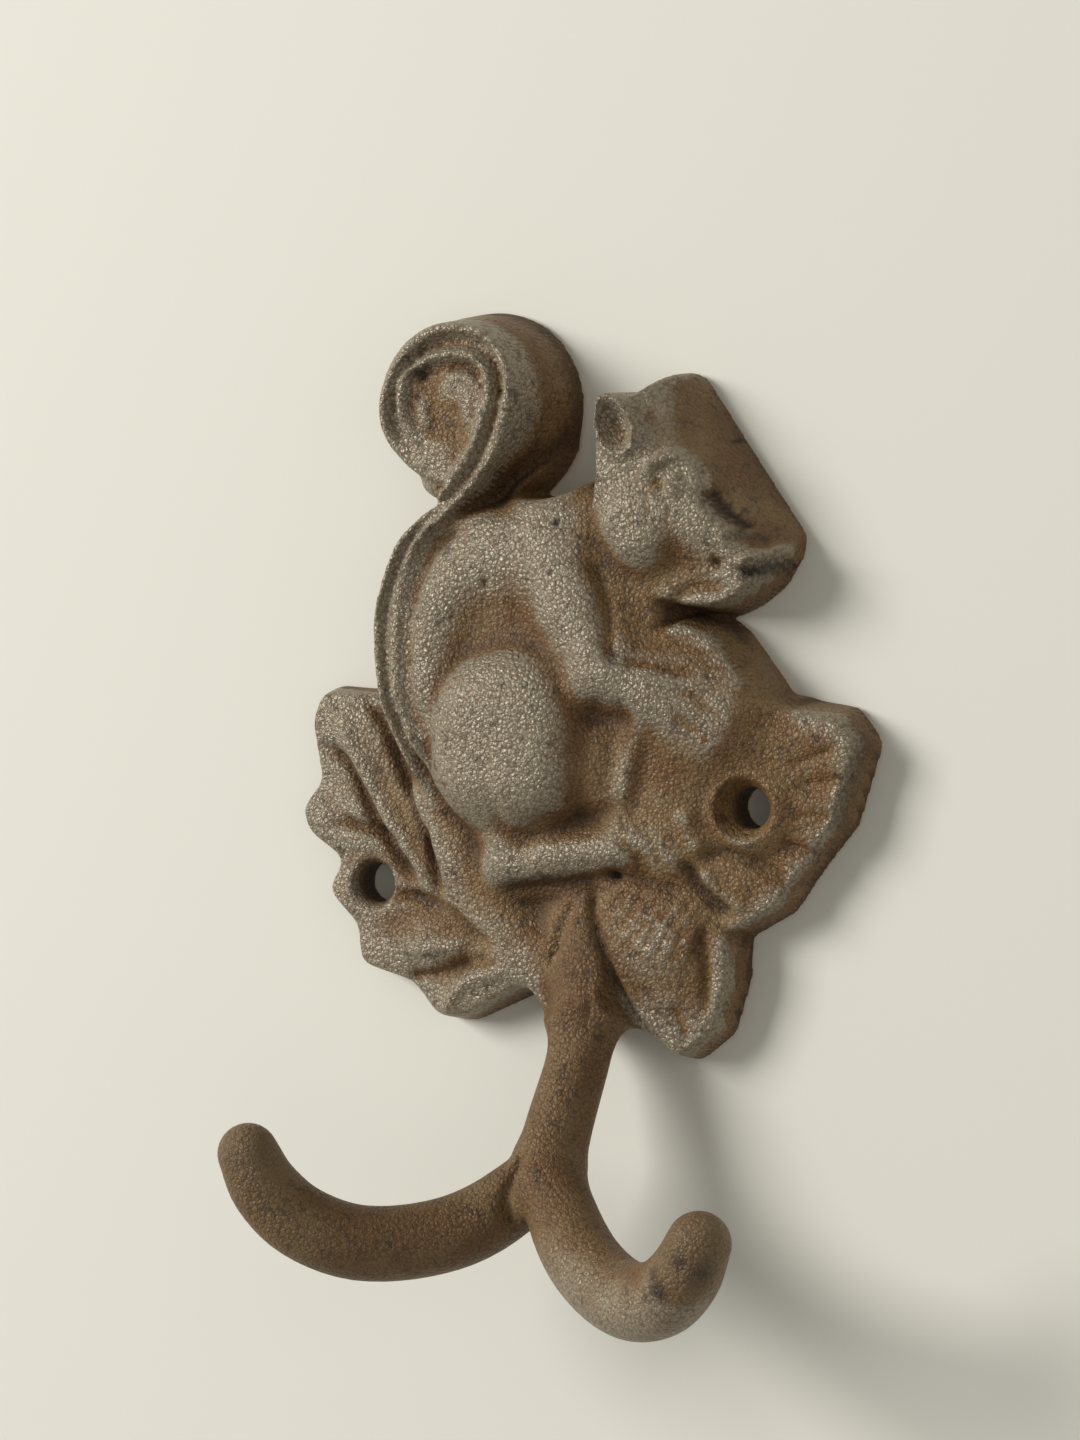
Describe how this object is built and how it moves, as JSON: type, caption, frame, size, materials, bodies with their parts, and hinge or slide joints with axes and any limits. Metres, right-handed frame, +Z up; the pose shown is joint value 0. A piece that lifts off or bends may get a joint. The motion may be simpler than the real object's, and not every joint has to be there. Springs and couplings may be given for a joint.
{
  "type": "wall hook",
  "caption": "Cast iron wall hook: squirrel with a curled tail on oak leaves beside an acorn, over a stem that splits into a pair of coat prongs.",
  "frame": {"origin": "on the wall face, in the middle plane of the stem, at the mean height of the two screw holes", "axes": "+Z up the wall, -Y out of the wall towards the viewer, +X to the viewer's right"},
  "size_m": [0.0946, 0.0467, 0.1403],
  "materials": {
    "coated_iron": "satin brown coating rubbed grey on the raised places"
  },
  "bodies": {
    "root": {"hook_casting": "coated_iron"}
  },
  "joints": []
}
